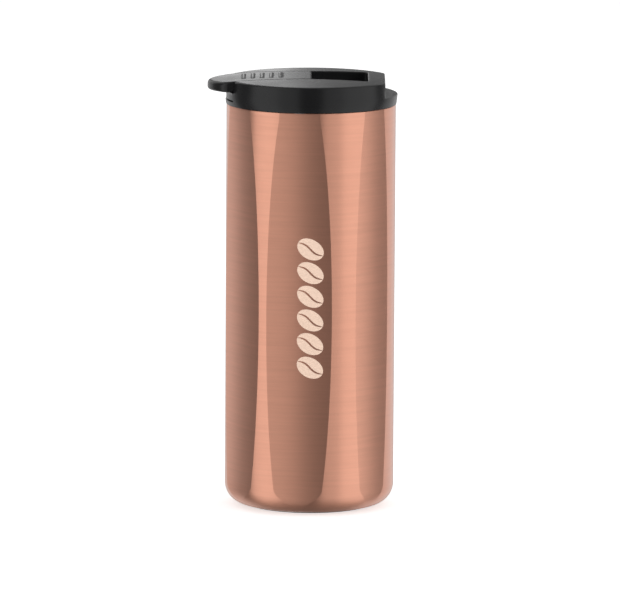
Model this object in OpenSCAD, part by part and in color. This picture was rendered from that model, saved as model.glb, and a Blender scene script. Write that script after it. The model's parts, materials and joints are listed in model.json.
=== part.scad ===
// Insulated tumbler with a lift-off lid and a flip lever.
// A double-walled steel body with shallow tall facets, closed by a black lid
// whose thumb lever swings up from the drinking opening and folds back.
//
// Origin: centre of the foot pad's underside, on the axis of the body.
// +Z is up. The lever's thumb tab points along -X, and the hinge pin lies along Y.

/* [Body] */
// Outside diameter of the steel body
body_d = 70; // [66:0.5:78]
// Height from the table to the underside of the lid's flange
body_h = 167.5; // [150:0.5:190]
// Radius of the rounded bottom edge
base_round = 8.4; // [6:0.1:9]
// Thickness of the outer steel wall
outer_wall = 0.6; // [0.5:0.05:0.8]
// Thickness of the inner steel wall
inner_wall = 0.5; // [0.4:0.05:0.6]
// Vacuum gap between the two walls
vacuum_gap = 3.4; // [3.2:0.1:4.5]

/* [Facets] */
// Height of a facet from point to point
facet_h = 152; // [110:1:152]
// Directions of the facets, from +X towards +Y
facet_turns = [-150, -98, -41, 30, 88, 147];
// Depth of each facet at its middle height
facet_depths = [2, 2, 1.1, 2, 1.1, 2];

/* [Base] */
// Thickness of the silicone foot pad
pad_t = 0.5; // [0.4:0.1:1]
// Radius of the opening in the outer shell's floor
base_open_r = 24; // [20:0.5:24.5]
// Height of the inner vessel's floor above the table
floor_z = 6.5; // [6:0.1:9]

/* [Lid] */
// Height of the flange that meets the body
flange_h = 3.85; // [3:0.05:5]
// Height of the lid's wall above the flange's underside
drum_h = 10; // [9.5:0.1:12]
// Rise of the domed top above the edge of the wall
dome_rise = 1.2; // [0.8:0.1:1.5]
// Distance of the flat rear face from the axis
chord_x = 30.5; // [29:0.1:31.5]
// Depth of the plug below the flange
plug_depth = 15; // [13:0.5:20]
// Depth of the channel floor below the edge of the wall
channel_depth = 5; // [4.8:0.1:5.2]
// Length of the thumb pocket behind the lever
pocket_l = 23.3; // [20:0.1:24]

/* [Lever] */
// Reach of the thumb tab from the axis
tab_reach = 42.9; // [41:0.1:44]
// Thickness of the thumb tab
tab_t = 4.1; // [3.8:0.1:4.4]
// Half width of the lever at its hinged end
lever_w0 = 12.95; // [12:0.05:13]
// Half width of the lever where it leaves the wall
lever_w1 = 14.6; // [14:0.05:14.8]
// Side gap between the lever and the lid
lever_gap = 0.35; // [0.3:0.05:0.5]
// Diameter of the hinge pin
pin_d = 3; // [2.5:0.1:3]
// Distance of the hinge pin ahead of the lever's rear edge
pin_x = -3.5; // [-3.6:0.05:-3.4]

/* [Seals] */
// Length of the drinking opening, across the lid
sip_l = 13; // [11:0.5:13]
// Width of the drinking opening
sip_w = 7; // [6:0.5:7]
// Distance of the drinking opening from the axis
sip_x = -22.5; // [-22.5:0.1:-22]
// Distance of the air vent from the axis
vent_x = -14; // [-14:0.1:-13.8]
// Radius of the air vent
vent_r = 1.2; // [0.8:0.1:1.2]

/* [Hidden] */
$fn = 96;
eps = 0.01;

copper = [0.80, 0.56, 0.46];
steel = [0.75, 0.76, 0.77];
black = [0.10, 0.10, 0.11];
charcoal = [0.20, 0.20, 0.21];
silicone = [0.30, 0.30, 0.32];

// Body
body_r = body_d / 2;
vessel_or = body_r - outer_wall - vacuum_gap;
vessel_r = vessel_or - inner_wall;
shell_z = pad_t;
lip_t = 0.4;
lip_r = body_r - 0.8;
shell_top = body_h - lip_t;
shoulder_round = 0.8;
facet_mid = (shell_z + shell_top) / 2;
facet_steps = 7;
facet_over = 1.06;
inner_round = 9;

// Base
base_z = shell_z + outer_wall;
base_r = base_open_r + 2;
cap_gap = 0.4;
groove_r = 21;
groove_w = 1.4;
port_r = 0.9;
port_cup_r = 3;
port_cup_h = 1.6;
getter_x = 13;
getter_r = 4;
getter_h = 1.5;
clip_t = 0.3;

// Lid
flange_r0 = body_r + 0.25;
flange_r1 = body_r + 0.7;
drum_r = body_r + 0.15;
edge_round = 1;
flange_z = body_h + flange_h;
rim_z = body_h + drum_h;
crown_z = rim_z + dome_rise;
dome_r = (pow(drum_r - edge_round, 2) + pow(dome_rise, 2)) / (2 * dome_rise);
channel_z = rim_z - channel_depth;
trough_z = channel_z - 2.5;
trough_x0 = -8.7;
trough_x1 = 2.2;
pocket_w0 = 13.4;
pocket_w1 = 15.7;
floor_t = 2.2;
plug_r = vessel_r - 0.9;
plug_wall = 1.9;
plug_z = body_h - plug_depth;
core_r = plug_r - plug_wall;
gasket_z = body_h - 9;
gasket_h = 4;
gasket_in = plug_r - 1.3;
gasket_out = vessel_r - 0.3;

// Lever
pin_z = crown_z - 3.3;
pin_r = pin_d / 2;
pin_play = 0.05;
pin_half = lever_w0 + 3.5;
hinge_l = 7;
lever_z = channel_z + 0.5;
plate_z = rim_z - 2.3;
tab_round = 18.2;
tab_z = rim_z - tab_t;
skirt_z = body_h + 2.2;
skirt_t = 2.1;
skirt_play = 0.35;
carrier_x0 = -31;
carrier_x1 = -hinge_l - 0.4;
carrier_inset = 0.8;
seal_play = 0.4;
seal_drop = 1.5;

// Half width of the lever at a distance x from the axis.
function lever_half(x) = lever_w0 + (lever_w1 - lever_w0) * pow(-x / 35.3, 1.35);

// Points of an arc about a centre, from one angle to another.
function arc(cx, cy, r, a0, a1, n) =
    [for (i = [0 : n]) let (a = a0 + (a1 - a0) * i / n) [cx + r * cos(a), cy + r * sin(a)]];

// ---- body ----

// Cross-section of a closed cup: wall radius r, floor z0, top z1, bottom edge radius f.
module cup_profile(r, z0, z1, f) {
    polygon(concat([[0, z0]], arc(r - f, z0 + f, f, -90, 0, 14), [[r, z1], [0, z1]]));
}

// A shape with a shallow wedge taken out for each facet. The wedge's face follows
// depth * (1 - u * u), with u from -1 to 1 over the facet's height, in flat steps.
module faceted(inset) {
    steps = [for (i = [0 : facet_steps]) facet_over * (2 * i / facet_steps - 1)];
    difference() {
        children();
        for (i = [0 : len(facet_turns) - 1])
            rotate([0, 0, facet_turns[i]])
                rotate([90, 0, 0])
                    translate([body_r - inset, facet_mid, -body_r])
                        linear_extrude(2 * body_r)
                            polygon(concat(
                                [for (u = steps) [-facet_depths[i] * (1 - u * u), u * facet_h / 2]],
                                [[20, facet_over * facet_h / 2], [20, -facet_over * facet_h / 2]]));
    }
}

module outer_shell() {
    color(copper)
        difference() {
            faceted(0)
                rotate_extrude()
                    polygon(concat(
                        [[0, shell_z]],
                        arc(body_r - base_round, shell_z + base_round, base_round, -90, 0, 14),
                        arc(body_r - shoulder_round, shell_top - shoulder_round, shoulder_round, 0, 90, 5),
                        [[0, shell_top]]));
            faceted(outer_wall)
                rotate_extrude()
                    cup_profile(body_r - outer_wall, base_z, shell_top - outer_wall, base_round - outer_wall);
            translate([0, 0, -1])
                cylinder(r = base_open_r, h = 10);
            translate([0, 0, shell_top - 5])
                cylinder(r = vessel_or + 0.2, h = 10);
        }
}

module inner_vessel() {
    color(steel)
        difference() {
            union() {
                rotate_extrude()
                    cup_profile(vessel_or, floor_z - inner_wall, shell_top, inner_round);
                translate([0, 0, shell_top])
                    cylinder(r = lip_r, h = lip_t);
            }
            rotate_extrude()
                cup_profile(vessel_r, floor_z, body_h + 1, inner_round - inner_wall);
        }
}

module outer_base() {
    color(steel)
        rotate_extrude()
            polygon([
                [port_r, base_z + port_cup_h], [port_r, base_z + port_cup_h + outer_wall],
                [port_cup_r - 1, base_z + port_cup_h + outer_wall], [port_cup_r + 1, base_z + outer_wall],
                [base_r, base_z + outer_wall], [base_r, base_z],
                [port_cup_r + 0.6, base_z], [port_cup_r - 1.4, base_z + port_cup_h]]);
}

module base_cap() {
    color(steel)
        translate([0, 0, shell_z])
            cylinder(r = base_open_r - cap_gap, h = outer_wall);
}

// Silicone disc with a shallow ring groove in its underside.
module foot_pad() {
    color(silicone)
        difference() {
            cylinder(r = base_r, h = pad_t);
            translate([0, 0, -eps])
                difference() {
                    cylinder(r = groove_r + groove_w / 2, h = pad_t / 2);
                    translate([0, 0, -1])
                        cylinder(r = groove_r - groove_w / 2, h = 3);
                }
        }
}

module vacuum_seal_bead() {
    color("dimgray")
        translate([0, 0, base_z + 0.2])
            cylinder(r = port_cup_r - 1.5, h = port_cup_h - 0.2);
}

module getter_capsule() {
    color("gray")
        translate([getter_x, 0, base_z + outer_wall])
            cylinder(r = getter_r, h = getter_h);
}

// A strap over the getter with a foot welded to the base on each side.
module getter_clip() {
    z0 = base_z + outer_wall;
    span = getter_r + 0.3;
    color(steel)
        translate([getter_x, 0, z0])
            difference() {
                translate([-1.5, -span - 2.5, 0])
                    cube([3, 2 * (span + 2.5), getter_h + clip_t]);
                translate([-2, -span, -eps])
                    cube([4, 2 * span, getter_h + eps]);
                for (s = [-1, 1])
                    translate([-2, s * (span + 0.3 + 2) - 2, clip_t])
                        cube([4, 4, getter_h + 1]);
            }
}

module reflective_foil() {
    color("orange")
        translate([0, 0, floor_z + inner_round])
            difference() {
                cylinder(r = vessel_or + 0.25, h = shell_top - floor_z - inner_round - 12);
                translate([0, 0, -1])
                    cylinder(r = vessel_or + 0.1, h = body_h);
            }
}

// ---- lid ----

// The space under the lid's domed top, out to any radius.
module dome_space(r) {
    intersection() {
        translate([0, 0, body_h - 20])
            cylinder(r = r, h = 40);
        translate([0, 0, crown_z - dome_r])
            sphere(r = dome_r, $fn = 360);
    }
}

// Plan outline of the channel and the thumb pocket.
module channel_plan(grow) {
    xs = [0, -8, -16, -24, -30, -36, -44];
    polygon(concat(
        [for (x = xs) [x, lever_half(x) + grow]],
        [for (i = [len(xs) - 1 : -1 : 0]) [xs[i], -lever_half(xs[i]) - grow]]));
    polygon([
        [-eps, pocket_w0 + grow - lever_gap], [pocket_l, pocket_w1 + grow - lever_gap],
        [pocket_l, -pocket_w1 - grow + lever_gap], [-eps, -pocket_w0 - grow + lever_gap]]);
}

// An oblong hole or plug across the lid, with round ends.
module oblong(l, w, z0, z1) {
    translate([sip_x, 0, z0])
        linear_extrude(z1 - z0) {
            square([w, l - w], center = true);
            for (s = [-1, 1])
                translate([0, s * (l - w) / 2])
                    circle(r = w / 2, $fn = 48);
        }
}

// Moulded body of the lid before the channel is cut.
module lid_blank() {
    intersection() {
        rotate_extrude()
            polygon(concat(
                [[0, body_h], [flange_r0, body_h], [flange_r1, flange_z - 0.3],
                 [flange_r1 - 0.3, flange_z], [drum_r, flange_z]],
                arc(drum_r - edge_round, rim_z - edge_round, edge_round, 0, 90, 6),
                [[drum_r - edge_round, crown_z + 1], [0, crown_z + 1]]));
        dome_space(flange_r1 + 1);
    }
}

module lid_shell() {
    color(black)
        difference() {
            lid_blank();
            // flat rear face above the flange
            translate([chord_x, -body_r, flange_z])
                cube([20, body_d, 20]);
            // channel and pocket
            translate([0, 0, channel_z])
                linear_extrude(20) channel_plan(lever_gap);
            // room for the hinge to turn
            translate([trough_x0, -pocket_w0, trough_z])
                cube([trough_x1 - trough_x0, 2 * pocket_w0, 10]);
            // notch that the lever's skirt closes
            difference() {
                translate([0, 0, skirt_z - skirt_play])
                    linear_extrude(10)
                        intersection() {
                            channel_plan(lever_gap);
                            translate([-50, -50]) square([50, 100]);
                        }
                translate([0, 0, body_h])
                    cylinder(r = drum_r - skirt_t - skirt_play, h = 20);
            }
            // cored-out underside, left and right of the channel and below it
            for (s = [-1, 1])
                intersection() {
                    translate([0, 0, body_h - 1])
                        cylinder(r = core_r, h = drum_h - floor_t + 1);
                    translate([-body_r, s * (body_r + pocket_w1 + floor_t) - body_r, body_h - 1])
                        cube([body_d, body_d, 20]);
                }
            intersection() {
                translate([0, 0, body_h - 1])
                    cylinder(r = core_r, h = channel_z - floor_t - body_h + 1);
                union() {
                    translate([-body_r, -lever_w0, body_h - 1])
                        cube([body_r + trough_x0 - floor_t, 2 * lever_w0, 20]);
                    translate([trough_x1 + floor_t, -lever_w0, body_h - 1])
                        cube([pocket_l - trough_x1 - floor_t, 2 * lever_w0, 20]);
                }
            }
            // drinking opening and air vent
            oblong(sip_l, sip_w, body_h - 5, channel_z + 5);
            translate([vent_x, 0, body_h - 5])
                cylinder(r = vent_r, h = 20, $fn = 32);
            // blind seats for the hinge pin's ends
            translate([pin_x, 0, pin_z])
                rotate([90, 0, 0])
                    cylinder(r = pin_r, h = 2 * pin_half, center = true);
        }
}

// Lower moulding: a cup that fills the mouth, with a duct to each opening above.
module lid_plug() {
    duct_wall = 1.4;
    duct_top = channel_z - floor_t;
    color(charcoal)
        difference() {
            union() {
                difference() {
                    translate([0, 0, plug_z])
                        cylinder(r = plug_r, h = plug_depth);
                    translate([0, 0, plug_z + plug_wall])
                        cylinder(r = core_r, h = plug_depth);
                }
                oblong(sip_l + 2 * duct_wall, sip_w + 2 * duct_wall, plug_z, duct_top);
                translate([vent_x, 0, plug_z])
                    cylinder(r = vent_r + duct_wall, h = duct_top - plug_z);
            }
            oblong(sip_l, sip_w, plug_z - 1, body_h + 5);
            translate([vent_x, 0, plug_z - 1])
                cylinder(r = vent_r, h = 30, $fn = 32);
            // gasket groove
            translate([0, 0, gasket_z])
                difference() {
                    cylinder(r = plug_r + 1, h = gasket_h);
                    translate([0, 0, -1])
                        cylinder(r = gasket_in, h = gasket_h + 2);
                }
            // lead-in at the bottom edge
            translate([0, 0, plug_z])
                difference() {
                    translate([0, 0, -1])
                        cylinder(r = plug_r + 1, h = 2);
                    translate([0, 0, -1])
                        cylinder(r1 = plug_r - 2, r2 = plug_r, h = 2);
                }
        }
}

// Silicone ring with two sealing fins.
module lid_gasket() {
    fin = 0.8;
    body_out = plug_r - 0.1;
    color(silicone)
        translate([0, 0, gasket_z])
            rotate_extrude()
                polygon([
                    [gasket_in, 0], [body_out, 0],
                    [gasket_out, 0.3 + fin / 2], [gasket_out, 0.3 + fin], [body_out, 0.4 + fin],
                    [body_out, gasket_h - 0.8 - fin], [gasket_out, gasket_h - 0.7 - fin / 2],
                    [gasket_out, gasket_h - 0.7], [body_out, gasket_h], [gasket_in, gasket_h]]);
}

module hinge_pin() {
    color(steel)
        translate([pin_x, 0, pin_z])
            rotate([90, 0, 0])
                cylinder(r = pin_r, h = 2 * pin_half, center = true);
}

// ---- lever ----

// Plan outline of the lever: flaring sides and a round thumb end.
module lever_plan(x0, x1) {
    xs = [0, -8, -16, -24, -30, -36, -44];
    intersection() {
        polygon(concat(
            [for (x = xs) [x, lever_half(x)]],
            [for (i = [len(xs) - 1 : -1 : 0]) [xs[i], -lever_half(xs[i])]]));
        union() {
            translate([tab_round - tab_reach, 0])
                circle(r = tab_round);
            translate([tab_round - tab_reach, -20])
                square([50, 40]);
        }
        translate([x0, -20])
            square([x1 - x0, 40]);
    }
}

module flip_lever() {
    color(black)
        difference() {
            intersection() {
                dome_space(tab_reach + 2);
                union() {
                    // thumb tab
                    translate([0, 0, tab_z])
                        linear_extrude(20) lever_plan(-50, carrier_x0 - skirt_play);
                    // plate over the seal carrier
                    translate([0, 0, plate_z])
                        linear_extrude(20) lever_plan(-40, 0);
                    // hinge block
                    translate([0, 0, lever_z])
                        linear_extrude(20) lever_plan(-hinge_l, 0);
                    // skirt that closes the notch in the wall
                    intersection() {
                        translate([0, 0, skirt_z])
                            linear_extrude(20) lever_plan(-50, -20);
                        difference() {
                            cylinder(r = drum_r, h = 2 * body_h);
                            translate([0, 0, -1])
                                cylinder(r = drum_r - skirt_t, h = plate_z + 1.5);
                        }
                    }
                }
            }
            translate([pin_x, 0, pin_z])
                rotate([90, 0, 0])
                    cylinder(r = pin_r + pin_play, h = 60, center = true);
        }
}

// Plate under the lever that holds the two seals.
module lever_carrier() {
    color(charcoal)
        difference() {
            translate([0, 0, lever_z + 0.1])
                linear_extrude(plate_z - lever_z - 0.1)
                    intersection() {
                        lever_plan(carrier_x0, carrier_x1);
                        translate([-60, -lever_w0 + carrier_inset])
                            square([60, 2 * (lever_w0 - carrier_inset)]);
                        circle(r = drum_r - skirt_t - skirt_play);
                    }
            oblong(sip_l - 4, sip_w - 3, lever_z - 1, lever_z + 1.2);
        }
}

// Silicone stopper in the drinking opening, keyed into the carrier.
module sip_seal() {
    color(silicone) {
        oblong(sip_l - 2 * seal_play, sip_w - 2 * seal_play, channel_z - seal_drop, lever_z + 0.1);
        oblong(sip_l - 4, sip_w - 3, lever_z, lever_z + 1.2);
    }
}

module vent_seal() {
    color(silicone)
        translate([vent_x, 0, channel_z + 0.3])
            cylinder(r = vent_r + 1, h = lever_z + 0.1 - channel_z - 0.3);
}

outer_shell();
inner_vessel();
outer_base();
base_cap();
foot_pad();
vacuum_seal_bead();
getter_capsule();
getter_clip();
reflective_foil();
lid_shell();
lid_plug();
lid_gasket();
hinge_pin();
flip_lever();
lever_carrier();
sip_seal();
vent_seal();
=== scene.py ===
"""Insulated tumbler with a flip-lever lid: its visible surfaces, finishes and studio.

Lengths inside the shape functions are millimetres. They become metres in one place,
where a mesh is made. +Z is up, the thumb tab points along -X and the camera looks along +Y.
"""
import json
import math

import bmesh
import bpy
import numpy as np
from bpy.props import FloatProperty, FloatVectorProperty, IntProperty, PointerProperty
from bpy.types import Operator, Panel, PropertyGroup
from mathutils import Matrix, Vector


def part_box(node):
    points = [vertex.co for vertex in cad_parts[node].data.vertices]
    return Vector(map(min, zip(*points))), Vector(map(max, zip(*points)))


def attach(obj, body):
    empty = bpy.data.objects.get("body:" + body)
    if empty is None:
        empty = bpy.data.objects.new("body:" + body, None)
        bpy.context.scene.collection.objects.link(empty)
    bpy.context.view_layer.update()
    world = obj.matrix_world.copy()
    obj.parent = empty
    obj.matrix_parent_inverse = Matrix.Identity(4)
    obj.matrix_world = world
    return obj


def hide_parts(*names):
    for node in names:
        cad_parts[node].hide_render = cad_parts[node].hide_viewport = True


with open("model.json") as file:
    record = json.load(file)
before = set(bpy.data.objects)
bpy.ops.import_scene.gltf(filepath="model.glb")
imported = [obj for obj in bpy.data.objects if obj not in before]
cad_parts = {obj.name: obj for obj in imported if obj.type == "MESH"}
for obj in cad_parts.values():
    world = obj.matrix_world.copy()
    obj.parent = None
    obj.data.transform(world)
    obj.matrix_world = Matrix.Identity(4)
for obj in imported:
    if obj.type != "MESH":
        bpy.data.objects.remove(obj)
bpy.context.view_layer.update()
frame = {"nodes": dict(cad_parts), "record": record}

bl_info = {
    "name": "Insulated Tumbler",
    "version": (1, 0, 0),
    "blender": (4, 5, 0),
    "location": "View3D > Sidebar > Tumbler",
    "description": "Builds the surfaces and finishes of an insulated tumbler with a flip-lever lid",
    "category": "Add Mesh",
}

MM = 0.001
FULL_TURN = 2 * math.pi


def node_box(name):
    """Lowest and highest corner of a CAD node, in millimetres."""
    low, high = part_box(name)
    return np.array(low) / MM, np.array(high) / MM


SHELL_LOW, SHELL_HIGH = node_box("outer_shell")
CUP_LOW, CUP_HIGH = node_box("inner_vessel")
LID_LOW, LID_HIGH = node_box("lid_shell")
LEVER_LOW, LEVER_HIGH = node_box("flip_lever")
CARRIER_LOW, CARRIER_HIGH = node_box("lever_carrier")
SEAL_LOW = node_box("sip_seal")[0]
GASKET_LOW, GASKET_HIGH = node_box("lid_gasket")

BODY_R = SHELL_HIGH[0]
FLANGE_R = LID_HIGH[1]
LID_Z = LID_LOW[2]
CROWN_Z = LEVER_HIGH[2]
LEVER_Z = CARRIER_LOW[2] - 0.1
CHANNEL_Z = LEVER_Z - 0.5

# Sizes that several pieces share, in millimetres
DRUM_R = BODY_R + 0.15
CHORD_X = 30.5
SIDE_GAP = 0.35
RIM_X = 35.3
TAB_ROUND = 18.2
TAB_UNDER = LID_Z + 5.9
POCKET_NEAR, POCKET_FAR, POCKET_LENGTH = 13.4, 15.7, 23.3
SIP_X, VENT_X = -22.5, -14.0
SIP_LENGTH, SIP_WIDTH, VENT_WIDTH = 12.7, 6.7, 2.2

# Columns across each facet and across the round stretch after it
FACET_COLUMNS = 37
GAP_CELLS = 20

# Half angles of the windows round the two holes, the channel floor's rows as shares of the way from
# the trough to the wall, and the rows that each window lies between
SIP_WINDOW = math.radians(27.5)
VENT_WINDOW = math.radians(13)
FLOOR_STOPS = [0.0, 0.09, 0.2, 0.354, 0.46, 0.57, 0.68, 0.787, 0.9, 1.0]
VENT_ROWS = (1, 3)
SIP_ROWS = (3, 7)

# The part of its range that a noise texture mostly fills
NOISE_LOW, NOISE_HIGH = 0.3, 0.7


# ---- curves and grids ----

def arc(centre_a, centre_b, radius, start, end, steps):
    """Points of a circular arc in a plane, from one angle in degrees to another."""
    angle = np.radians(np.linspace(start, end, steps + 1))
    return np.stack([centre_a + radius * np.cos(angle), centre_b + radius * np.sin(angle)], axis=1)


def smooth_step(low, high, value):
    """0 below low, 1 above high, and 3t^2 - 2t^3 between."""
    t = np.clip((value - low) / (high - low), 0, 1)
    return t * t * (3 - 2 * t)


def crowded(start, end, cells):
    """Values from start to end, closer together near both ends: the sine of an even angle."""
    t = np.sin(np.linspace(-math.pi / 2, math.pi / 2, cells + 1)) / 2 + 0.5
    return start + (end - start) * t


def grid_faces(rows, columns, close_rows=False, close_columns=True):
    """Quads of a grid of points, joined round in either direction if asked."""
    i = np.arange(rows if close_rows else rows - 1)[:, None]
    j = np.arange(columns if close_columns else columns - 1)[None, :]
    below = (i + 1) % rows
    right = (j + 1) % columns
    corners = [i * columns + j, i * columns + right, below * columns + right, below * columns + j]
    return np.stack(np.broadcast_arrays(*corners), axis=-1).reshape(-1, 4)


def turned(profile, columns):
    """A profile of (radius, height) points carried round the Z axis."""
    angle = np.arange(columns) * FULL_TURN / columns
    radius = profile[:, 0][:, None]
    height = np.broadcast_to(profile[:, 1][:, None], (len(profile), columns))
    return np.stack([radius * np.cos(angle), radius * np.sin(angle), height], axis=-1)


def capped(stations):
    """Closed outlines along a path, with each end drawn in to the middle of its outline."""
    first = np.broadcast_to(stations[0].mean(axis=0), stations[0].shape)
    last = np.broadcast_to(stations[-1].mean(axis=0), stations[-1].shape)
    return np.concatenate([first[None], stations, last[None]])


def make_mesh(name, shells, sharp_degrees=40.0):
    """One object from a list of (points, faces): doubles merged, closed, smooth, normals outward."""
    points, faces, start = [], [], 0
    for grid, quads in shells:
        flat = grid.reshape(-1, 3)
        points.append(flat)
        faces.append(quads + start)
        start += len(flat)
    mesh = bpy.data.meshes.new(name)
    mesh.from_pydata((np.concatenate(points) * MM).tolist(), [], np.concatenate(faces).tolist())
    work = bmesh.new()
    work.from_mesh(mesh)
    bmesh.ops.remove_doubles(work, verts=work.verts, dist=0.002 * MM)
    bmesh.ops.dissolve_degenerate(work, edges=work.edges, dist=0.001 * MM)
    bmesh.ops.holes_fill(work, edges=work.edges)
    bmesh.ops.recalc_face_normals(work, faces=work.faces)
    work.to_mesh(mesh)
    work.free()
    mesh.shade_smooth()
    mesh.set_sharp_from_angle(angle=math.radians(sharp_degrees))
    piece = bpy.data.objects.new(name, mesh)
    bpy.context.scene.collection.objects.link(piece)
    return piece


# ---- outer shell ----

def facet_share(height, sizes):
    """Share of a facet's full depth: greatest just below mid-height, falling with the square of the
    distance from there, and running out smoothly above the rounded bottom edge."""
    low, high = SHELL_LOW[2], SHELL_HIGH[2]
    middle = (low + high) / 2 - 2
    u = (height - middle) / ((high - low) / 2)
    return (1 - sizes.facet_taper * np.minimum(u * u, 1)) * smooth_step(low + 2, low + 10, height)


def facet_half_angle(depth, flat_radius):
    """Half the angle that a facet of this depth takes up: where its own arc meets the body's circle."""
    offset = flat_radius - (BODY_R - depth)
    cosine = (flat_radius ** 2 - BODY_R ** 2 - offset ** 2) / (2 * offset * BODY_R)
    return np.arccos(np.clip(cosine, -1, 1))


def facet_drop(delta, depth, flat_radius):
    """How far the facet's arc lies inside the body's circle, at an angle from the facet's middle."""
    offset = flat_radius - (BODY_R - depth)
    arc_radius = -offset * np.cos(delta) + np.sqrt(flat_radius ** 2 - (offset * np.sin(delta)) ** 2)
    return np.maximum(BODY_R - arc_radius, 0)


def shell_radius(angle, height, sizes):
    """Radius of the outer skin at an angle from +X and a height, both arrays."""
    turns = np.array(sizes.facet_turns)[:, None, None]
    depths = np.array(sizes.facet_depths)[:, None, None] / MM
    delta = (angle[None] - turns + math.pi) % FULL_TURN - math.pi
    drop = facet_drop(delta, depths * facet_share(height, sizes), BODY_R * sizes.facet_flatness)
    return BODY_R - np.where(np.abs(delta) < math.pi / 4, drop, 0).max(axis=0)


def shell_grid(sizes):
    """The shell's wall as a closed loop of rows round a thin profile. The columns follow the
    facets' edges, so each edge stays crisp."""
    wall, shoulder = 0.6, 0.35
    bottom_round = sizes.bottom_round / MM
    low, high = SHELL_LOW[2], CUP_HIGH[2] - 0.06
    opening, mouth = 24.0, 31.2
    heights = np.linspace(low + bottom_round, high - shoulder, 130)
    outer = np.concatenate([
        [[opening, low]],
        arc(BODY_R - bottom_round, low + bottom_round, bottom_round, -90, 0, 16)[:-1],
        np.stack([np.full_like(heights, BODY_R), heights], axis=1),
        arc(BODY_R - shoulder, high - shoulder, shoulder, 0, 90, 6)[1:],
        [[mouth, high]]])
    inner_r = BODY_R - wall
    inner_round = bottom_round - wall
    inner_heights = np.linspace(high - wall, low + wall + inner_round, 30)
    inner = np.concatenate([
        [[mouth, high - wall]],
        np.stack([np.full_like(inner_heights, inner_r), inner_heights], axis=1),
        arc(inner_r - inner_round, low + wall + inner_round, inner_round, 0, -90, 8)[1:],
        [[opening, low + wall]]])
    profile = np.concatenate([outer, inner])
    flat_radius = BODY_R * sizes.facet_flatness
    depth = facet_share(profile[:, 1], sizes)[:, None] * np.array(sizes.facet_depths) / MM
    half = np.maximum(facet_half_angle(np.maximum(depth, 0.02), flat_radius), math.radians(5))
    turns = np.array(sizes.facet_turns)
    period = (np.roll(turns, -1) - turns) % FULL_TURN
    gap = (period - half - np.roll(half, -1, axis=1))[:, :, None]
    on_facet = half[:, :, None] * np.sin(np.linspace(-math.pi / 2, math.pi / 2, FACET_COLUMNS))
    delta = np.concatenate([on_facet, half[:, :, None] + gap * crowded(0, 1, GAP_CELLS)[1:-1]], axis=2)
    angle = (turns[None, :, None] + delta).reshape(len(profile), -1)
    drop = facet_drop(delta, depth[:, :, None], flat_radius)
    drop[:, :, FACET_COLUMNS:] = 0
    drop = drop.reshape(len(profile), -1)
    keep = smooth_step(opening + 1, BODY_R - 2, profile[:, 0])[:, None]
    radius = profile[:, 0][:, None] - drop * keep
    height = np.broadcast_to(profile[:, 1][:, None], radius.shape)
    return np.stack([radius * np.cos(angle), radius * np.sin(angle), height], axis=-1)


def mark_grid(row, side, sizes):
    """Half of one plain bean shape, laid on the shell: along runs the bean, across goes from its
    S-shaped parting line out to its elliptical edge. Its skin rises to a hair's height and back."""
    pitch = sizes.mark_height / MM / sizes.mark_count
    fill, lean, relief = 0.84, math.radians(64), 0.03
    half_long = sizes.mark_width / MM / 2
    half_wide = pitch / 2 * fill
    along = np.linspace(-math.pi / 2, math.pi / 2, 29)[:, None]
    s = np.sin(along)
    edge = half_wide * np.cos(along)
    parting = half_wide * 0.16 * np.sin(math.pi * s) + side * half_wide * 0.10 * np.cos(along)
    across = np.concatenate([np.linspace(0, 1, 12), np.linspace(1, 0, 12)[1:-1]])[None, :]
    lift = np.concatenate([np.sin(np.linspace(0, math.pi, 12)) * 0.5 + 0.5, np.full(10, -1.0)])[None, :]
    local_x = parting + (side * edge - parting) * across
    local_z = half_long * s + 0 * across
    flat = local_x * math.cos(lean) - local_z * math.sin(lean)
    rise = local_x * math.sin(lean) + local_z * math.cos(lean)
    height = sizes.mark_centre / MM + (row - (sizes.mark_count - 1) / 2) * pitch + rise
    angle = -math.pi / 2 + flat / BODY_R
    skin = shell_radius(angle, height, sizes) + relief * lift
    return np.stack([skin * np.cos(angle), skin * np.sin(angle), height], axis=-1)


# ---- lid ----

def lever_half(x, sizes):
    """Half width of the lever at a distance x from the axis: widening towards the tab by a power of x."""
    root, rim = sizes.lever_root / MM, sizes.lever_rim / MM
    return root + (rim - root) * np.maximum(-x / RIM_X, 0) ** 1.35


def dome(radius):
    """Height of the lid's domed top at a distance from the axis: part of a sphere."""
    rise, edge, lift = 1.25, BODY_R - 0.85, 0.65
    sphere = (edge ** 2 + rise ** 2) / (2 * rise)
    return CROWN_Z + lift - (sphere - np.sqrt(sphere ** 2 - radius ** 2))


def channel_edge(angle, sizes):
    """Distance from the axis to the wall of the channel or pocket, in a direction given by its angle."""
    cosine, sine = np.cos(angle), np.maximum(np.abs(np.sin(angle)), 1e-4)
    slope = (POCKET_FAR - POCKET_NEAR) / POCKET_LENGTH
    pocket_side = POCKET_NEAR / np.maximum(sine - slope * cosine, 1e-3)
    pocket_end = POCKET_LENGTH / np.maximum(cosine, 1e-3)
    power = 26.0
    pocket = (pocket_side ** -power + pocket_end ** -power) ** (-1 / power)
    reach = np.full_like(angle, 14.0)
    for _ in range(12):
        reach = (lever_half(np.maximum(reach * cosine, -44.0), sizes) + SIDE_GAP) / sine
    return np.where(cosine > 0, pocket, np.minimum(reach, 60.0))


def trough_edge(angle):
    """Distance from the axis to the wall of the hinge trough, a rectangle round the axis."""
    cosine, sine = np.cos(angle), np.maximum(np.abs(np.sin(angle)), 1e-4)
    rear, front, half = 2.2, 8.7, 13.2
    end = np.where(cosine > 0, rear, front) / np.maximum(np.abs(cosine), 1e-3)
    return np.minimum(end, half / sine)


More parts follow.
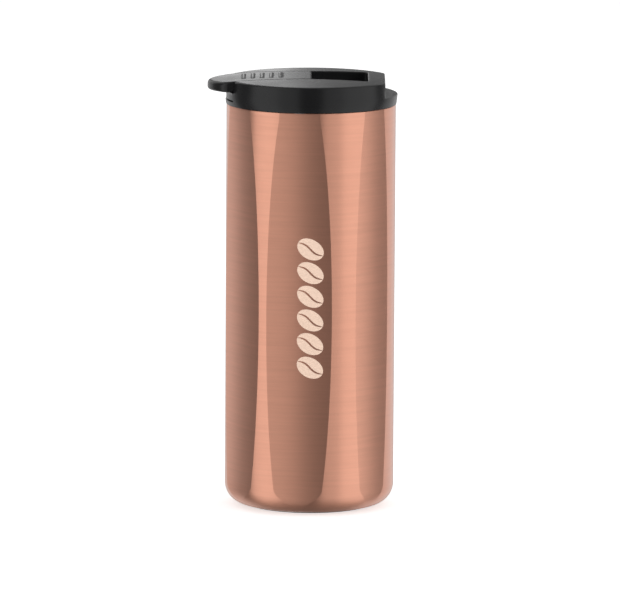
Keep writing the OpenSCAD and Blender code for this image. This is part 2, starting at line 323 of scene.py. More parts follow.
def lid_columns(sizes):
    """Angles of the lid's columns, crowded where the outline turns: the ends of the flat rear
    face, the pocket's corners, the holes' windows and both edges of the notch. Returns the angles
    and the angle of the notch's edge."""
    corner = math.atan2(POCKET_FAR, POCKET_LENGTH)
    kink = math.acos(CHORD_X / DRUM_R)
    beside = 2e-4
    probe = np.linspace(math.radians(150), math.radians(162), 4001)
    notch = probe[np.argmax(channel_edge(probe, sizes) >= DRUM_R)]
    window = math.pi - SIP_WINDOW
    vent = math.pi - VENT_WINDOW
    parts = [crowded(0, kink, 20), crowded(kink, corner, 6), crowded(corner, math.pi / 2, 36),
             crowded(math.pi / 2, window, 34), crowded(window, notch - beside, 6),
             crowded(notch + beside, vent, 12), np.linspace(vent, math.pi, 9)]
    upper = np.concatenate([part[:-1] for part in parts] + [[math.pi]])
    upper = np.insert(upper, np.searchsorted(upper, notch), notch - beside)
    return np.concatenate([upper, FULL_TURN - upper[-2:0:-1]]), notch


def lid_rows(angle, notch, sizes):
    """The lid's section in every direction, from the axis out over the channel's floor and wall, the
    domed shoulder, the rim, the flange and back in along the underside. Rows of (radius, height)."""
    base, top = LID_Z, LID_Z + 4.3
    ledge, sill, deep = LID_Z + 1.85, 32.7, CHANNEL_Z - 2.5
    flare_low, flare_high = BODY_R + 0.25, FLANGE_R
    cosine = np.cos(angle)
    in_notch = np.abs(angle - math.pi) < math.pi - notch
    wall = np.minimum(DRUM_R, CHORD_X / np.maximum(cosine, 0.5))
    ledge_r = flare_low + (flare_high - flare_low) * (ledge - base) / (top - base)
    edge = np.where(in_notch, ledge_r, np.minimum(channel_edge(angle, sizes), wall))
    drop = edge > sill
    trough = np.minimum(trough_edge(angle), edge - 0.2)
    foot = np.minimum(edge, sill)
    start = trough + 0.1
    stop = np.maximum(foot - 0.3, start)
    zero = np.zeros_like(angle)
    rows = [(zero, deep), (trough * 0.5, deep), (trough - 0.1, deep), (trough, deep + 0.1),
            (trough, CHANNEL_Z - 0.1)]
    floor_start = len(rows)
    floor = [(start + (stop - start) * f, CHANNEL_Z) for f in FLOOR_STOPS]
    rows += floor
    low = np.where(drop, CHANNEL_Z - 0.3, CHANNEL_Z + 0.3)
    rows += [(foot - 0.09, np.where(drop, CHANNEL_Z - 0.09, CHANNEL_Z + 0.09)), (foot, low),
             (foot, np.where(drop, ledge, low)), (edge, np.where(drop, ledge, low))]
    room = np.where(in_notch, 0, np.maximum(wall - edge, 0))
    lip_round, rim_round = 0.5, 0.9
    lip = np.minimum(lip_round, room / 2)
    rim = np.minimum(rim_round, room / 2)
    crest = dome(edge + lip)
    for turn in np.radians(np.linspace(180, 90, 7)):
        rows.append((edge + lip + lip * np.cos(turn), crest - lip + lip * np.sin(turn)))
    inner, outer = edge + lip, wall - rim
    for f in np.linspace(0, 1, 13)[1:-1]:
        radius = inner + (outer - inner) * f
        rows.append((radius, dome(radius)))
    brow = dome(outer)
    for turn in np.radians(np.linspace(90, 0, 9)):
        rows.append((outer + rim * np.cos(turn), brow - rim + rim * np.sin(turn)))
    wall_start = len(rows) - 1
    foot_of_brow = brow - rim
    for f in (0.25, 0.5, 0.75):
        rows.append((wall, foot_of_brow + (top + 0.3 - foot_of_brow) * f))
    rows += [(wall, top + 0.3), (wall + 0.09, top + 0.09), (wall + 0.3, top)]
    nose = 0.4
    for f in (0.33, 0.66):
        rows.append((wall + 0.3 + (flare_high - nose - wall - 0.3) * f, top))
    for turn in np.radians(np.linspace(90, 0, 6)):
        rows.append((zero + flare_high - nose + nose * np.cos(turn), top - nose + nose * np.sin(turn)))
    last_notched = len(rows)
    first_notched = floor_start + len(FLOOR_STOPS) + 4
    for k in range(first_notched, last_notched):
        radius, height = rows[k]
        rows[k] = (np.where(in_notch, ledge_r, radius), np.where(in_notch, ledge, height))
    past_flat = np.minimum(angle, FULL_TURN - angle) - math.acos(CHORD_X / DRUM_R)
    flush = smooth_step(-0.01, 0.03, past_flat) * (1 - in_notch)
    for k in range(wall_start, last_notched):
        radius, height = rows[k]
        skin = DRUM_R + (flare_high - DRUM_R) * (1 - smooth_step(top - 1.0, top + 4.5, height))
        rows[k] = (radius + flush * np.maximum(skin - radius, 0), height)
    rows += [(zero + flare_low, base + 0.25), (zero + flare_low - 0.07, base + 0.07),
             (zero + flare_low - 0.25, base)]
    under_start = len(rows)
    rows += [(radius, base) for radius, _ in reversed(floor)]
    rows.append((zero, base))
    radii = np.stack([np.broadcast_to(radius, angle.shape) for radius, _ in rows])
    heights = np.stack([np.broadcast_to(height, angle.shape) for _, height in rows])
    grid = np.stack([radii * np.cos(angle), radii * np.sin(angle), heights], axis=-1)
    return grid, floor_start, under_start


def window_loop(rows, columns):
    """Row and column numbers of the points round a window's edge, once round."""
    (top, bottom), (left, right) = rows, columns
    i = np.concatenate([np.full(right - left, top), np.arange(top, bottom),
                        np.full(right - left, bottom), np.arange(bottom, top, -1)])
    j = np.concatenate([np.arange(left, right), np.full(bottom - top, right),
                        np.arange(right, left, -1), np.full(bottom - top, left)])
    return i, j


def oblong_reach(direction, length, width):
    """Distance from the middle of a round-ended slot to its edge, in given unit directions: the
    straight side where it is met first, and else the round end's circle."""
    dx, dy = np.abs(direction[:, 0]), np.abs(direction[:, 1])
    half, spread = width / 2, (length - width) / 2
    side = half / np.maximum(dx, 1e-6)
    end = spread * dy + np.sqrt(np.maximum(half ** 2 - (spread * dx) ** 2, 0))
    return np.where(side * dy <= spread, side, end)


def hole_shell(upper, lower, centre, length, width):
    """Rings from a window in the channel's floor, over a rounded lip, down through the lid and
    out to the same window in the underside."""
    reach = upper[:, :2] - centre
    direction = reach / np.linalg.norm(reach, axis=1)[:, None]
    lip, top, bottom = 0.5, upper[0, 2], lower[0, 2]
    edge = oblong_reach(direction, length, width)[:, None] * direction + centre

    def ring(outward, height):
        flat = edge + direction * outward
        return np.concatenate([flat, np.full((len(flat), 1), height)], axis=1)

    rings = [upper]
    start = ring(lip, top)
    rings += [upper + (start - upper) * f for f in (0.4, 0.75)]
    for turn in np.radians(np.linspace(90, 180, 6)):
        rings.append(ring(lip + lip * np.cos(turn), top - lip + lip * np.sin(turn)))
    rings += [ring(0, bottom), lower]
    grid = np.stack(rings)
    return grid, grid_faces(len(rings), grid.shape[1])


def lid_shells(sizes):
    """The lid's turned-and-stepped skin with two windows, and the skin of the hole in each window."""
    angle, notch = lid_columns(sizes)
    grid, floor_start, under_start = lid_rows(angle, notch, sizes)
    rows, columns = grid.shape[:2]
    faces = grid_faces(rows, columns)
    row_of, column_of = np.divmod(np.arange((rows - 1) * columns), columns)
    holes = [(SIP_ROWS, SIP_WINDOW, SIP_X, SIP_LENGTH, SIP_WIDTH),
             (VENT_ROWS, VENT_WINDOW, VENT_X, VENT_WIDTH, VENT_WIDTH)]
    keep = np.ones(len(faces), bool)
    shells = []
    last = len(FLOOR_STOPS) - 1
    for (near, far), window, hole_x, length, width in holes:
        left = int(np.argmin(np.abs(angle - (math.pi - window))))
        right = int(np.argmin(np.abs(angle - (math.pi + window))))
        between = (column_of >= left) & (column_of < right)
        keep &= ~(between & (row_of >= floor_start + near) & (row_of < floor_start + far))
        under = (under_start + last - far, under_start + last - near)
        keep &= ~(between & (row_of >= under[0]) & (row_of < under[1]))
        i, j = window_loop((near, far), (left, right))
        upper = grid[floor_start + i, j]
        lower = grid[under_start + last - i, j]
        shells.append(hole_shell(upper, lower, np.array([hole_x, 0.0]), length, width))
    return [(grid, faces[keep])] + shells


# ---- lever ----

def lever_outline(x, sizes):
    """Half width of the lever in plan: flared sides, and a circular arc round the thumb end."""
    centre = LEVER_LOW[0] + TAB_ROUND
    end = np.sqrt(np.maximum(TAB_ROUND ** 2 - np.minimum(x - centre, 0) ** 2, 0))
    side = lever_half(x, sizes)
    blend = 1.2
    mix = np.clip(0.5 + (end - side) / (2 * blend), 0, 1)
    joined = end * (1 - mix) + side * mix - blend * mix * (1 - mix)
    return np.where(x < centre - 1, np.maximum(np.minimum(joined, end), 0), side)


def lever_shell(sizes):
    """The lever as closed sections along X: a domed top with raised grip bars, rounded edges, and an
    underside that steps down at the hinge and the thumb tab."""
    tip = LEVER_LOW[0]
    tab_end, block = -31.35, -7.0
    x = np.unique(np.concatenate([
        tip + (1 - np.cos(np.linspace(0, math.pi / 2, 40))) * (-30.2 - tip),
        [tab_end, tab_end + 0.05], np.arange(-30.0, -13.0, 0.2), np.arange(-13.0, -1.0, 0.6),
        [block - 0.05, block], -crowded(0, 1.2, 12)]))
    half = lever_outline(x, sizes)[:, None]
    half[0] = 0
    across = np.sin(np.linspace(-math.pi / 2, math.pi / 2, 61))[None, :]
    y = half * across
    spot = x[:, None] + 0 * y
    side = (half - np.abs(y)) * 0.99
    end = TAB_ROUND - np.hypot(np.minimum(spot - (tip + TAB_ROUND), 0), y)
    inside = np.minimum(side, -spot)
    inside = np.where(spot < tip + TAB_ROUND - 4, np.minimum(inside, end), inside)
    thumb = smooth_step(-30, -37, spot)

    def eased(distance, radius):
        """How far a rounded edge lies below its face, at a distance in from the outline."""
        d = np.clip(distance, 0, radius)
        return radius - np.sqrt(np.maximum(radius ** 2 - (radius - d) ** 2, 0))

    top = dome(np.hypot(spot, y)) - sizes.tab_slope / MM * thumb - eased(inside, 0.45 + 1.0 * thumb)
    pitch, bar_height = 3.8, 0.22
    bars = np.arange(sizes.grip_bars) * pitch + sizes.grip_start / MM
    phase = np.abs(spot[..., None] - bars)
    bar = (np.cos(np.clip(phase / 1.1, 0, 1) * math.pi) / 2 + 0.5).sum(axis=-1)
    bar_end = 1 - smooth_step(7.6, 8.8, np.abs(y))
    top = top + bar_height * np.minimum(bar * 1.3, 1) * bar_end
    under = np.where(x < tab_end + 0.02, TAB_UNDER, np.where(x < block - 0.02, CARRIER_HIGH[2], LEVER_Z))
    under = under[:, None] + eased(inside, 0.3 + 0.7 * thumb)
    upper = np.stack([spot, y, top], axis=-1)
    lower = np.stack([spot, y, np.minimum(under, top - 0.2)], axis=-1)[:, ::-1]
    sections = capped(np.concatenate([upper, lower], axis=1))
    return sections, grid_faces(*sections.shape[:2])


def skirt_shell(sizes):
    """The curved skirt that closes the notch: one rounded section, with a hollow fillet up to the
    tab, carried round part of a circle. Each end is drawn in slightly and closed flat."""
    outer = DRUM_R
    inner, low, high = outer - 2.1, LID_Z + 2.2, LID_Z + 6.6
    fillet = 1.6
    section = np.concatenate([
        arc(inner + 0.3, low + 0.3, 0.3, 180, 270, 4),
        arc(outer - 0.4, low + 0.4, 0.4, -90, 0, 6),
        arc(outer + fillet, TAB_UNDER - fillet, fillet, 180, 96, 10),
        [[outer + fillet, TAB_UNDER + 0.3], [outer, high], [inner, high]]])
    reach = math.asin(lever_half(np.array(-32.0), sizes) / outer)
    middle = (inner + outer) / 2
    angle = np.concatenate([[-reach], np.linspace(-reach + 0.006, reach - 0.006, 44), [reach]])
    width = np.ones_like(angle)
    width[[0, -1]] = 0.9
    radius = middle + (section[None, :, 0] - middle) * width[:, None]
    height = np.broadcast_to(section[None, :, 1], radius.shape)
    around = (math.pi + angle)[:, None]
    sections = np.stack([radius * np.cos(around), radius * np.sin(around), height], axis=-1)
    return sections, grid_faces(*sections.shape[:2])


def stopper_shell():
    """The silicone stopper: a round-ended outline set in by a quarter circle at its lower edge."""
    centre = np.array([SIP_X, 0.0])
    length, width, columns = 12.2, 6.2, 72
    angle = np.arange(columns) * FULL_TURN / columns
    direction = np.stack([np.cos(angle), np.sin(angle)], axis=1)
    rows = [(0.0, SEAL_LOW[2])]
    bead = 0.9
    for turn in np.radians(np.linspace(-90, 0, 9)):
        inset = bead - bead * np.cos(turn)
        rows.append((1 - inset / (width / 2), SEAL_LOW[2] + bead + bead * np.sin(turn)))
    rows += [(1.0, LEVER_Z - 0.1), (0.985, LEVER_Z), (0.97, LEVER_Z + 0.09), (0.0, LEVER_Z + 0.09)]
    edge = oblong_reach(direction, length, width)[:, None] * direction
    rings = [np.concatenate([centre + edge * scale, np.full((columns, 1), height)], axis=1)
             for scale, height in rows]
    return np.stack(rings), grid_faces(len(rings), columns)


def gasket_shell():
    """The gasket: a ring whose section has two round-nosed fins pointing out and slightly down."""
    low, high = GASKET_LOW[2], GASKET_HIGH[2]
    inner, trunk, nose = 28.3, 29.4, GASKET_HIGH[0] - 0.25
    section = np.concatenate([
        [[inner, low + 0.05], [inner + 0.1, low], [trunk - 0.1, low]],
        arc(nose, low + 0.75, 0.25, -60, 90, 6), [[trunk, low + 1.25], [trunk, high - 1.55]],
        arc(nose, high - 1.0, 0.25, -60, 90, 6), [[trunk, high - 0.3], [trunk - 0.2, high]],
        [[inner + 0.1, high], [inner, high - 0.1]]])
    return turned(section, 180), grid_faces(len(section), 180, close_rows=True)


def cup_shell():
    """The drinking cup: the inner wall, its rounded floor and the out-turned lip, as one thin section."""
    outer, wall, lip, lip_r = 31.0, 0.5, 0.4, CUP_HIGH[0]
    low, high = CUP_LOW[2], CUP_HIGH[2]
    bottom_round = 9.0
    inner = outer - wall
    section = np.concatenate([
        [[0, low]], arc(outer - bottom_round, low + bottom_round, bottom_round, -90, 0, 16),
        [[outer, high - lip - 0.4]], arc(outer + 0.4, high - lip - 0.4, 0.4, 180, 90, 4),
        [[lip_r - 0.2, high - lip]], arc(lip_r - 0.2, high - lip / 2, lip / 2, -90, 90, 8),
        arc(inner + 0.5, high - 0.5, 0.5, 90, 180, 6),
        arc(outer - bottom_round, low + bottom_round, bottom_round - wall, 0, -90, 16), [[0, low + wall]]])
    return turned(section, 180), grid_faces(len(section), 180)


# ---- finishes ----

def new_finish(name, colour, roughness, metallic=0.0):
    """A material with a Principled shader set to constant values; returns the material and its parts."""
    finish = bpy.data.materials.new(name)
    finish.use_nodes = True
    tree = finish.node_tree
    shader = tree.nodes["Principled BSDF"]
    shader.inputs["Base Color"].default_value = (*colour[:3], 1)
    shader.inputs["Roughness"].default_value = roughness
    shader.inputs["Metallic"].default_value = metallic
    return finish, tree, shader


def noise(tree, scale, detail=3.0):
    """Noise on object coordinates, stretched by a scale for each axis, in cycles per metre."""
    place = tree.nodes.new("ShaderNodeTexCoord")
    stretch = tree.nodes.new("ShaderNodeMapping")
    stretch.inputs["Scale"].default_value = scale
    grain = tree.nodes.new("ShaderNodeTexNoise")
    grain.inputs["Scale"].default_value = 1.0
    grain.inputs["Detail"].default_value = detail
    grain.inputs["Roughness"].default_value = 0.55
    tree.links.new(place.outputs["Object"], stretch.inputs["Vector"])
    tree.links.new(stretch.outputs["Vector"], grain.inputs["Vector"])
    return grain.outputs["Fac"]


def spread(tree, value, low, high):
    """A noise value moved to a range of its own."""
    node = tree.nodes.new("ShaderNodeMapRange")
    ends = {"From Min": NOISE_LOW, "From Max": NOISE_HIGH, "To Min": low, "To Max": high}
    for socket, number in ends.items():
        node.inputs[socket].default_value = number
    tree.links.new(value, node.inputs["Value"])
    return node.outputs["Result"]


def two_tone(tree, value, dark, light):
    """A colour that runs from dark to light with a noise value."""
    ramp = tree.nodes.new("ShaderNodeValToRGB")
    ramp.color_ramp.elements[0].position = NOISE_LOW
    ramp.color_ramp.elements[0].color = (*dark, 1)
    ramp.color_ramp.elements[1].position = NOISE_HIGH
    ramp.color_ramp.elements[1].color = (*light, 1)
    tree.links.new(value, ramp.inputs["Fac"])
    return ramp.outputs["Color"]


def bump(tree, value, shader, height_mm, strength):
    """Relief of a given height from a value, fed to the shader's normal."""
    node = tree.nodes.new("ShaderNodeBump")
    node.inputs["Strength"].default_value = strength
    node.inputs["Distance"].default_value = height_mm * MM
    tree.links.new(value, node.inputs["Height"])
    tree.links.new(node.outputs["Normal"], shader.inputs["Normal"])


def shade(colour, factor):
    """A colour made lighter or darker by a factor."""
    return tuple(min(channel * factor, 1.0) for channel in colour[:3])


def brushed_metal(name, colour, roughness, anisotropy, streak):
    """Metal brushed round the Z axis: long thin streaks in colour, gloss and relief."""
    finish, tree, shader = new_finish(name, colour, roughness, 1.0)
    fine = noise(tree, (90, 90, 5200), 4.0)
    broad = noise(tree, (30, 30, 900), 2.0)
    tint = two_tone(tree, broad, shade(colour, 1 - streak), shade(colour, 1 + streak))
    tree.links.new(tint, shader.inputs["Base Color"])
    tree.links.new(spread(tree, fine, roughness - 0.05, roughness + 0.05), shader.inputs["Roughness"])
    bump(tree, fine, shader, 0.004, 0.35)
    tangent = tree.nodes.new("ShaderNodeTangent")
    tangent.direction_type = "RADIAL"
    tangent.axis = "Z"
    tree.links.new(tangent.outputs["Tangent"], shader.inputs["Tangent"])
    shader.inputs["Anisotropic"].default_value = anisotropy
    shader.inputs["Anisotropic Rotation"].default_value = 0.25
    return finish


def moulded_plastic(name, colour, roughness, grain_mm, specular=0.5):
    """Moulded plastic: a fine spark-eroded grain, with slight changes of gloss over the surface."""
    finish, tree, shader = new_finish(name, colour, roughness)
    fine = noise(tree, (5200, 5200, 5200), 2.0)
    broad = noise(tree, (60, 60, 60), 3.0)
    tint = two_tone(tree, broad, shade(colour, 0.85), shade(colour, 1.2))
    tree.links.new(tint, shader.inputs["Base Color"])
    tree.links.new(spread(tree, broad, roughness - 0.03, roughness + 0.04), shader.inputs["Roughness"])
    bump(tree, fine, shader, grain_mm, 0.5)
    shader.inputs["Specular IOR Level"].default_value = specular
    return finish


def soft_silicone(name, colour):
    """Silicone rubber: matt, faintly dusty, with a soft sheen."""
    finish, tree, shader = new_finish(name, colour, 0.6)
    dust = noise(tree, (350, 350, 350), 4.0)
    tree.links.new(two_tone(tree, dust, shade(colour, 0.8), shade(colour, 1.35)), shader.inputs["Base Color"])
    tree.links.new(spread(tree, dust, 0.52, 0.7), shader.inputs["Roughness"])
    bump(tree, dust, shader, 0.01, 0.4)
    shader.inputs["Sheen Weight"].default_value = 0.15
    return finish


def dull_mineral(name, colour):
    """Sintered or fused mineral: grainy in colour and relief."""
    finish, tree, shader = new_finish(name, colour, 0.7)
    grain = noise(tree, (2500, 2500, 2500), 4.0)
    tree.links.new(two_tone(tree, grain, shade(colour, 0.6), shade(colour, 1.4)), shader.inputs["Base Color"])
    bump(tree, grain, shader, 0.03, 0.6)
    return finish


def finish_of(slot, scene):
    """The material for a slot, made once and then shared."""
    name = slot + "_finish"
    if name in bpy.data.materials:
        return bpy.data.materials[name]
    colours = scene.tumbler_colours
    if slot == "copper_steel":
        finish = brushed_metal(name, colours.copper, colours.copper_roughness,
                               colours.copper_anisotropy, 0.035)
        lacquer = finish.node_tree.nodes["Principled BSDF"]
        lacquer.inputs["Coat Weight"].default_value = 0.6
        lacquer.inputs["Coat Roughness"].default_value = 0.3
        return finish
    if slot == "etched_copper":
        finish, tree, shader = new_finish(name, colours.etched, 0.5)
        grain = noise(tree, (900, 900, 2600), 3.0)
        pale = two_tone(tree, grain, shade(colours.etched, 0.92), shade(colours.etched, 1.06))
        tree.links.new(pale, shader.inputs["Base Color"])
        tree.links.new(spread(tree, grain, 0.42, 0.6), shader.inputs["Roughness"])
        return finish
    if slot == "steel":
        return brushed_metal(name, colours.steel, 0.3, 0.6, 0.04)
    if slot == "lid_plastic":
        return moulded_plastic(name, colours.lid, colours.lid_roughness, 0.001, 0.38)
    if slot == "plug_plastic":
        return moulded_plastic(name, shade(colours.lid, 3.0), 0.5, 0.01)
    if slot == "silicone":
        return soft_silicone(name, colours.silicone)
    if slot == "foil":
        return brushed_metal(name, (0.85, 0.58, 0.44), 0.22, 0.2, 0.08)
    return dull_mineral(name, (0.30, 0.29, 0.28) if slot == "braze" else (0.36, 0.35, 0.34))


def dress(piece, finish):
    """Gives a piece or a CAD node one material."""
    piece.data.materials.clear()
    piece.data.materials.append(finish)


# ---- settings ----

class BodySizes(PropertyGroup):
    """Sizes of the body's facets, rounded edge and etched mark."""
    facet_depths: FloatVectorProperty(name="Facet depths",
                                      description="Depth of each facet at mid-height", size=6,
                                      default=(0.0021, 0.0021, 0.0011, 0.0021, 0.0011, 0.0021),
                                      min=0, max=0.0025, unit="LENGTH")
    facet_flatness: FloatProperty(name="Facet flatness",
                                  description="Radius of a facet's own arc over the body's radius",
                                  default=4.0, min=1.5, max=50)
    facet_taper: FloatProperty(name="Facet taper", description="Share of the depth lost towards the ends",
                               default=0.64, min=0, max=1, subtype="FACTOR")
    facet_turns: FloatVectorProperty(name="Facet directions",
                                     description="Direction of each facet from +X", size=6,
                                     default=[math.radians(turn) for turn in (-150, -98, -41, 30, 88, 147)])
    bottom_round: FloatProperty(name="Bottom edge", description="Radius of the rounded bottom edge",
                                default=0.0084, min=0.004, max=0.009, unit="LENGTH")
    mark_count: IntProperty(name="Mark shapes",
                            description="Number of bean shapes in the etched mark", default=6, min=1, max=9)
    mark_height: FloatProperty(name="Mark height", description="Height of the column of shapes",
                               default=0.059, min=0.02, max=0.1, unit="LENGTH")
    mark_width: FloatProperty(name="Mark width", description="Length of one shape, which lies on its side",
                              default=0.0120, min=0.003, max=0.014, unit="LENGTH")
    mark_centre: FloatProperty(name="Mark centre", description="Height of the mark's middle",
                               default=0.0865, min=0.05, max=0.12, unit="LENGTH")


class LidSizes(PropertyGroup):
    """Sizes of the lid's lever and its grip."""
    lever_root: FloatProperty(name="Lever half width", description="Half width at the hinged end",
                              default=0.01295, min=0.012, max=0.013, unit="LENGTH")
    lever_rim: FloatProperty(name="Rim half width", description="Half width where the lever leaves the wall",
                             default=0.0146, min=0.014, max=0.0148, unit="LENGTH")
    tab_slope: FloatProperty(name="Tab slope", description="Extra fall of the thumb tab's top",
                             default=0.0002, min=0, max=0.001, unit="LENGTH")
    grip_bars: IntProperty(name="Grip bars",
                           description="Raised bars across the lever", default=5, min=0, max=6)
    grip_start: FloatProperty(name="First bar", description="Distance of the first bar from the axis",
                              default=-0.028, min=-0.029, max=-0.02, unit="LENGTH")


class FinishColours(PropertyGroup):
    """Colours and gloss of the finishes, as linear values."""
    copper: FloatVectorProperty(name="Copper", description="Colour of the copper coating", subtype="COLOR",
                                size=3, min=0, max=1, default=(0.81, 0.385, 0.262))
    copper_roughness: FloatProperty(name="Copper roughness", description="Roughness of the brushed copper",
                                    default=0.39, min=0.05, max=1, subtype="FACTOR")
    copper_anisotropy: FloatProperty(name="Copper anisotropy",
                                     description="How much longer highlights are across the brushing",
                                     default=0.86, min=0, max=1, subtype="FACTOR")
    etched: FloatVectorProperty(name="Etched mark", description="Colour of the etched mark", subtype="COLOR",
                                size=3, min=0, max=1, default=(0.95, 0.69, 0.54))
    steel: FloatVectorProperty(name="Steel", description="Colour of the bare steel", subtype="COLOR",
                               size=3, min=0, max=1, default=(0.62, 0.62, 0.63))
    lid: FloatVectorProperty(name="Lid", description="Colour of the lid's plastic", subtype="COLOR",
                             size=3, min=0, max=1, default=(0.005, 0.005, 0.0055))
    lid_roughness: FloatProperty(name="Lid roughness", description="Roughness of the lid's plastic",
                                 default=0.25, min=0.05, max=1, subtype="FACTOR")
    silicone: FloatVectorProperty(name="Silicone",
                                  description="Colour of the seals and foot pad", subtype="COLOR",
                                  size=3, min=0, max=1, default=(0.035, 0.035, 0.038))


class StudioSettings(PropertyGroup):
    """Camera, floor and lights."""
    distance: FloatProperty(name="Camera distance",
                            description="Level distance from the tumbler's axis to the camera",
                            default=3.5445, min=1, max=6, unit="LENGTH")
    height: FloatProperty(name="Camera height", description="Height of the camera above the floor",
                          default=0.6130, min=0.1, max=2, unit="LENGTH")
    aim: FloatProperty(name="Aim height", description="Height that the camera is aimed at",
                       default=0.0822, min=0, max=0.2, unit="LENGTH")
    roll: FloatProperty(name="Roll", description="Roll of the camera", default=0.006, subtype="ANGLE")
    lens: FloatProperty(name="Lens",
                        description="Focal length in millimetres", default=501.6, min=50, max=1000)
    surround: FloatProperty(name="Surround",
                            description="Brightness of the room's even light", default=0.20, min=0, max=2)
    key: FloatProperty(name="Key",
                       description="Brightness of the two main softboxes", default=0.92, min=0, max=10)
    fill: FloatProperty(name="Fill",
                        description="Brightness of the two fill softboxes beside the camera",
                        default=0.56, min=0, max=10)
    rim: FloatProperty(name="Rim",
                       description="Brightness of the two softboxes behind the sides",
                       default=0.6, min=0, max=10)
    back: FloatProperty(name="Back",
                        description="Brightness of the softbox behind", default=0.06, min=0, max=10)
    card: FloatProperty(name="Card",
                        description="Brightness of the narrow card behind", default=0.9, min=0, max=10)
    top: FloatProperty(name="Top",
                       description="Brightness of the overhead softbox", default=0.5, min=0, max=20)
    floor_glow: FloatProperty(name="Floor glow",
                              description="Light given off by the pale floor", default=0.6, min=0, max=2)


# ---- operators ----

class TUMBLER_OT_stage(Operator):
    """Set out the pale floor, the softboxes, the even surround and the camera"""
    bl_idname = "tumbler.stage"
    bl_label = "Stage"

    def execute(self, context):
        scene = context.scene
        studio = scene.tumbler_studio
        span, drop = 12.0, -0.1 * MM
        corners = [(-span, -span, drop), (span, -span, drop), (span, span, drop), (-span, span, drop)]
        mesh = bpy.data.meshes.new("studio_floor")
        mesh.from_pydata(corners, [], [(0, 1, 2, 3)])
        floor = bpy.data.objects.new("studio_floor", mesh)
        scene.collection.objects.link(floor)
        floor.visible_glossy = False
        paint, _, shader = new_finish("studio_floor", (0.86, 0.86, 0.86), 0.9)
        shader.inputs["Specular IOR Level"].default_value = 0.1
        shader.inputs["Emission Color"].default_value = (1, 1, 1, 1)
        shader.inputs["Emission Strength"].default_value = studio.floor_glow
        dress(floor, paint)
        world = bpy.data.worlds.new("studio_surround")
        world.use_nodes = True
        backdrop = world.node_tree.nodes["Background"]
        backdrop.inputs["Color"].default_value = (1, 1, 1, 1)
        backdrop.inputs["Strength"].default_value = studio.surround
        scene.world = world
        for name, side, key_end, rim_start in (("left", -1, 86, 122), ("right", 1, 97, 114)):
            self.softbox(scene, "fill_" + name, side, 16, 44, studio.fill)
            self.softbox(scene, "key_" + name, side, 44, key_end, studio.key)
            self.softbox(scene, "rim_" + name, side, rim_start, 166, studio.rim)
        self.softbox(scene, "back", 1, 168, 192, studio.back, 2.4)
        self.softbox(scene, "card", 1, 180.5, 184.5, studio.card, 2.2)
        self.lamp(scene, "top", Vector((0, 0.8, 3.0)), Vector((0, 0.8, 0)), 5.0, 5.0, studio.top)
        self.camera(scene, studio)
        scene.view_settings.view_transform = "Standard"
        return {"FINISHED"}

    def softbox(self, scene, name, side, start, end, brightness, reach=1.5):
        """An upright softbox facing the axis, between two directions in degrees from the camera's side."""
        angle = math.radians(side * (start + end) / 2)
        spot = Vector((reach * math.sin(angle), -reach * math.cos(angle), 0))
        width = 2 * reach * math.tan(math.radians(end - start) / 2)
        self.lamp(scene, name, spot, Vector((0, 0, 0)), width, 3.4, brightness)

    def lamp(self, scene, name, spot, target, width, height, brightness):
        """A rectangular area light facing a target, with its power from pi * area * brightness."""
        light = bpy.data.lights.new(name, "AREA")
        light.shape = "RECTANGLE"
        light.size, light.size_y = width, height
        light.energy = brightness * math.pi * width * height
        holder = bpy.data.objects.new(name, light)
        holder.location = spot
        holder.rotation_euler = (spot - target).to_track_quat("Z", "Y").to_euler()
        scene.collection.objects.link(holder)

    def camera(self, scene, studio):
        """A long lens on the -Y side, slightly above the lid and slightly rolled."""
        data = bpy.data.cameras.new("camera")
        data.lens, data.sensor_width, data.clip_end = studio.lens, 36.0, 100
        view = bpy.data.objects.new("camera", data)
        spot = Vector((0, -studio.distance, studio.height))
        ahead = (Vector((0, 0, studio.aim)) - spot).normalized()
        level = ahead.cross(Vector((0, 0, 1))).normalized()
        up = level.cross(ahead)
        right = level * math.cos(studio.roll) + up * math.sin(studio.roll)
        rise = up * math.cos(studio.roll) - level * math.sin(studio.roll)
        view.matrix_world = Matrix((
            (right.x, rise.x, -ahead.x, spot.x), (right.y, rise.y, -ahead.y, spot.y),
            (right.z, rise.z, -ahead.z, spot.z), (0, 0, 0, 1)))
        scene.collection.objects.link(view)
        scene.camera = view


class TUMBLER_OT_shell(Operator):
    """Make the brushed copper outer shell with its facets"""
    bl_idname = "tumbler.shell"
    bl_label = "Outer shell"

    def execute(self, context):
        sizes = context.scene.tumbler_body
        grid = shell_grid(sizes)
        faces = grid_faces(*grid.shape[:2], close_rows=True)
        shell = make_mesh("copper_shell", [(grid, faces)], 50)
        dress(shell, finish_of("copper_steel", context.scene))
        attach(shell, "vessel")
        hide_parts("outer_shell")
        return {"FINISHED"}


class TUMBLER_OT_mark(Operator):
    """Make the etched mark: a column of plain bean shapes"""
    bl_idname = "tumbler.mark"
    bl_label = "Etched mark"

    def execute(self, context):
        sizes = context.scene.tumbler_body
        shells = []
        for row in range(sizes.mark_count):
            for side in (-1, 1):
                grid = mark_grid(row, side, sizes)
                shells.append((grid, grid_faces(*grid.shape[:2])))
        mark = make_mesh("etched_beans", shells, 60)
        dress(mark, finish_of("etched_copper", context.scene))
        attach(mark, "vessel")
        return {"FINISHED"}


class TUMBLER_OT_cup(Operator):
    """Make the bright steel drinking cup with its out-turned lip"""
    bl_idname = "tumbler.cup"
    bl_label = "Inner cup"

    def execute(self, context):
        cup = make_mesh("steel_cup", [cup_shell()], 50)
        dress(cup, finish_of("steel", context.scene))
        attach(cup, "vessel")
        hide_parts("inner_vessel")
        return {"FINISHED"}


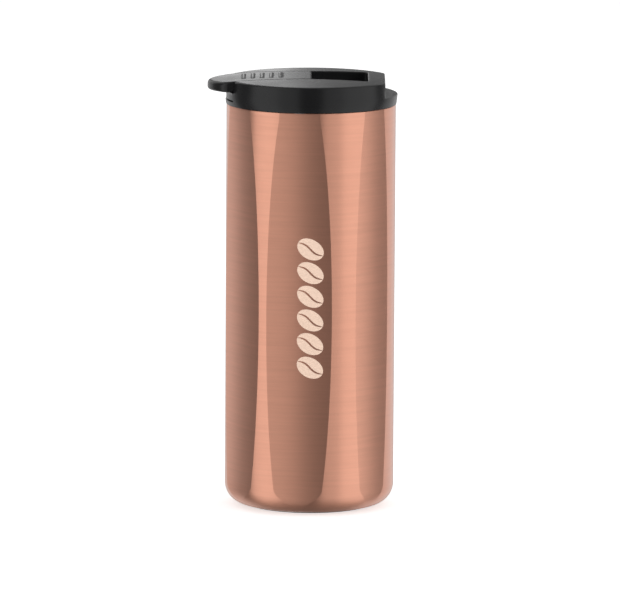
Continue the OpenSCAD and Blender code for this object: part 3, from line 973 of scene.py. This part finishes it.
class TUMBLER_OT_lid(Operator):
    """Make the moulded lid with its channel, pocket, notch, flange and two openings"""
    bl_idname = "tumbler.lid"
    bl_label = "Lid"

    def execute(self, context):
        lid = make_mesh("moulded_lid", lid_shells(context.scene.tumbler_lid), 35)
        dress(lid, finish_of("lid_plastic", context.scene))
        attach(lid, "lid")
        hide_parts("lid_shell")
        return {"FINISHED"}


class TUMBLER_OT_lever(Operator):
    """Make the flip lever with its thumb tab, grip bars and skirt"""
    bl_idname = "tumbler.lever"
    bl_label = "Flip lever"

    def execute(self, context):
        sizes = context.scene.tumbler_lid
        lever = make_mesh("thumb_lever", [lever_shell(sizes), skirt_shell(sizes)], 35)
        dress(lever, finish_of("lid_plastic", context.scene))
        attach(lever, "lever")
        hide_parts("flip_lever")
        return {"FINISHED"}


class TUMBLER_OT_seals(Operator):
    """Make the two silicone seals: the lid's finned gasket and the lever's stopper"""
    bl_idname = "tumbler.seals"
    bl_label = "Seals"

    def execute(self, context):
        gasket = make_mesh("fin_gasket", [gasket_shell()], 50)
        dress(gasket, finish_of("silicone", context.scene))
        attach(gasket, "lid")
        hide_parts("lid_gasket")
        stopper = make_mesh("sip_stopper", [stopper_shell()], 50)
        dress(stopper, finish_of("silicone", context.scene))
        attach(stopper, "lever")
        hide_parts("sip_seal")
        return {"FINISHED"}


class TUMBLER_OT_finishes(Operator):
    """Give every CAD node that still shows its finish"""
    bl_idname = "tumbler.finishes"
    bl_label = "Finishes"

    def execute(self, context):
        slots = {entry["node"]: entry["material_slot"] for entry in frame["record"]["subparts"]}
        for name, node in frame["nodes"].items():
            dress(node, finish_of(slots[name], context.scene))
        return {"FINISHED"}


class TUMBLER_PT_panel(Panel):
    """Lists the tumbler's operators and its sizes"""
    bl_idname = "TUMBLER_PT_panel"
    bl_label = "Insulated Tumbler"
    bl_space_type = "VIEW_3D"
    bl_region_type = "UI"
    bl_category = "Tumbler"

    def draw(self, context):
        layout = self.layout
        for step in STEPS:
            layout.operator(step.bl_idname)
        for group in (context.scene.tumbler_body, context.scene.tumbler_lid, context.scene.tumbler_colours,
                      context.scene.tumbler_studio):
            box = layout.box()
            for key in group.__annotations__:
                box.prop(group, key)


STEPS = (TUMBLER_OT_stage, TUMBLER_OT_shell, TUMBLER_OT_mark, TUMBLER_OT_cup, TUMBLER_OT_lid,
         TUMBLER_OT_lever, TUMBLER_OT_seals, TUMBLER_OT_finishes)
GROUPS = {"tumbler_body": BodySizes, "tumbler_lid": LidSizes, "tumbler_colours": FinishColours,
          "tumbler_studio": StudioSettings}


def register():
    for group in (*GROUPS.values(), *STEPS, TUMBLER_PT_panel):
        bpy.utils.register_class(group)
    for name, group in GROUPS.items():
        setattr(bpy.types.Scene, name, PointerProperty(type=group))


def unregister():
    for name in GROUPS:
        delattr(bpy.types.Scene, name)
    for group in reversed((*GROUPS.values(), *STEPS, TUMBLER_PT_panel)):
        bpy.utils.unregister_class(group)


def main():
    """Registers the add-on and builds everything in order."""
    register()
    bpy.ops.tumbler.stage()
    bpy.ops.tumbler.shell()
    bpy.ops.tumbler.mark()
    bpy.ops.tumbler.cup()
    bpy.ops.tumbler.lid()
    bpy.ops.tumbler.lever()
    bpy.ops.tumbler.seals()
    bpy.ops.tumbler.finishes()


if __name__ == "__main__":
    main()
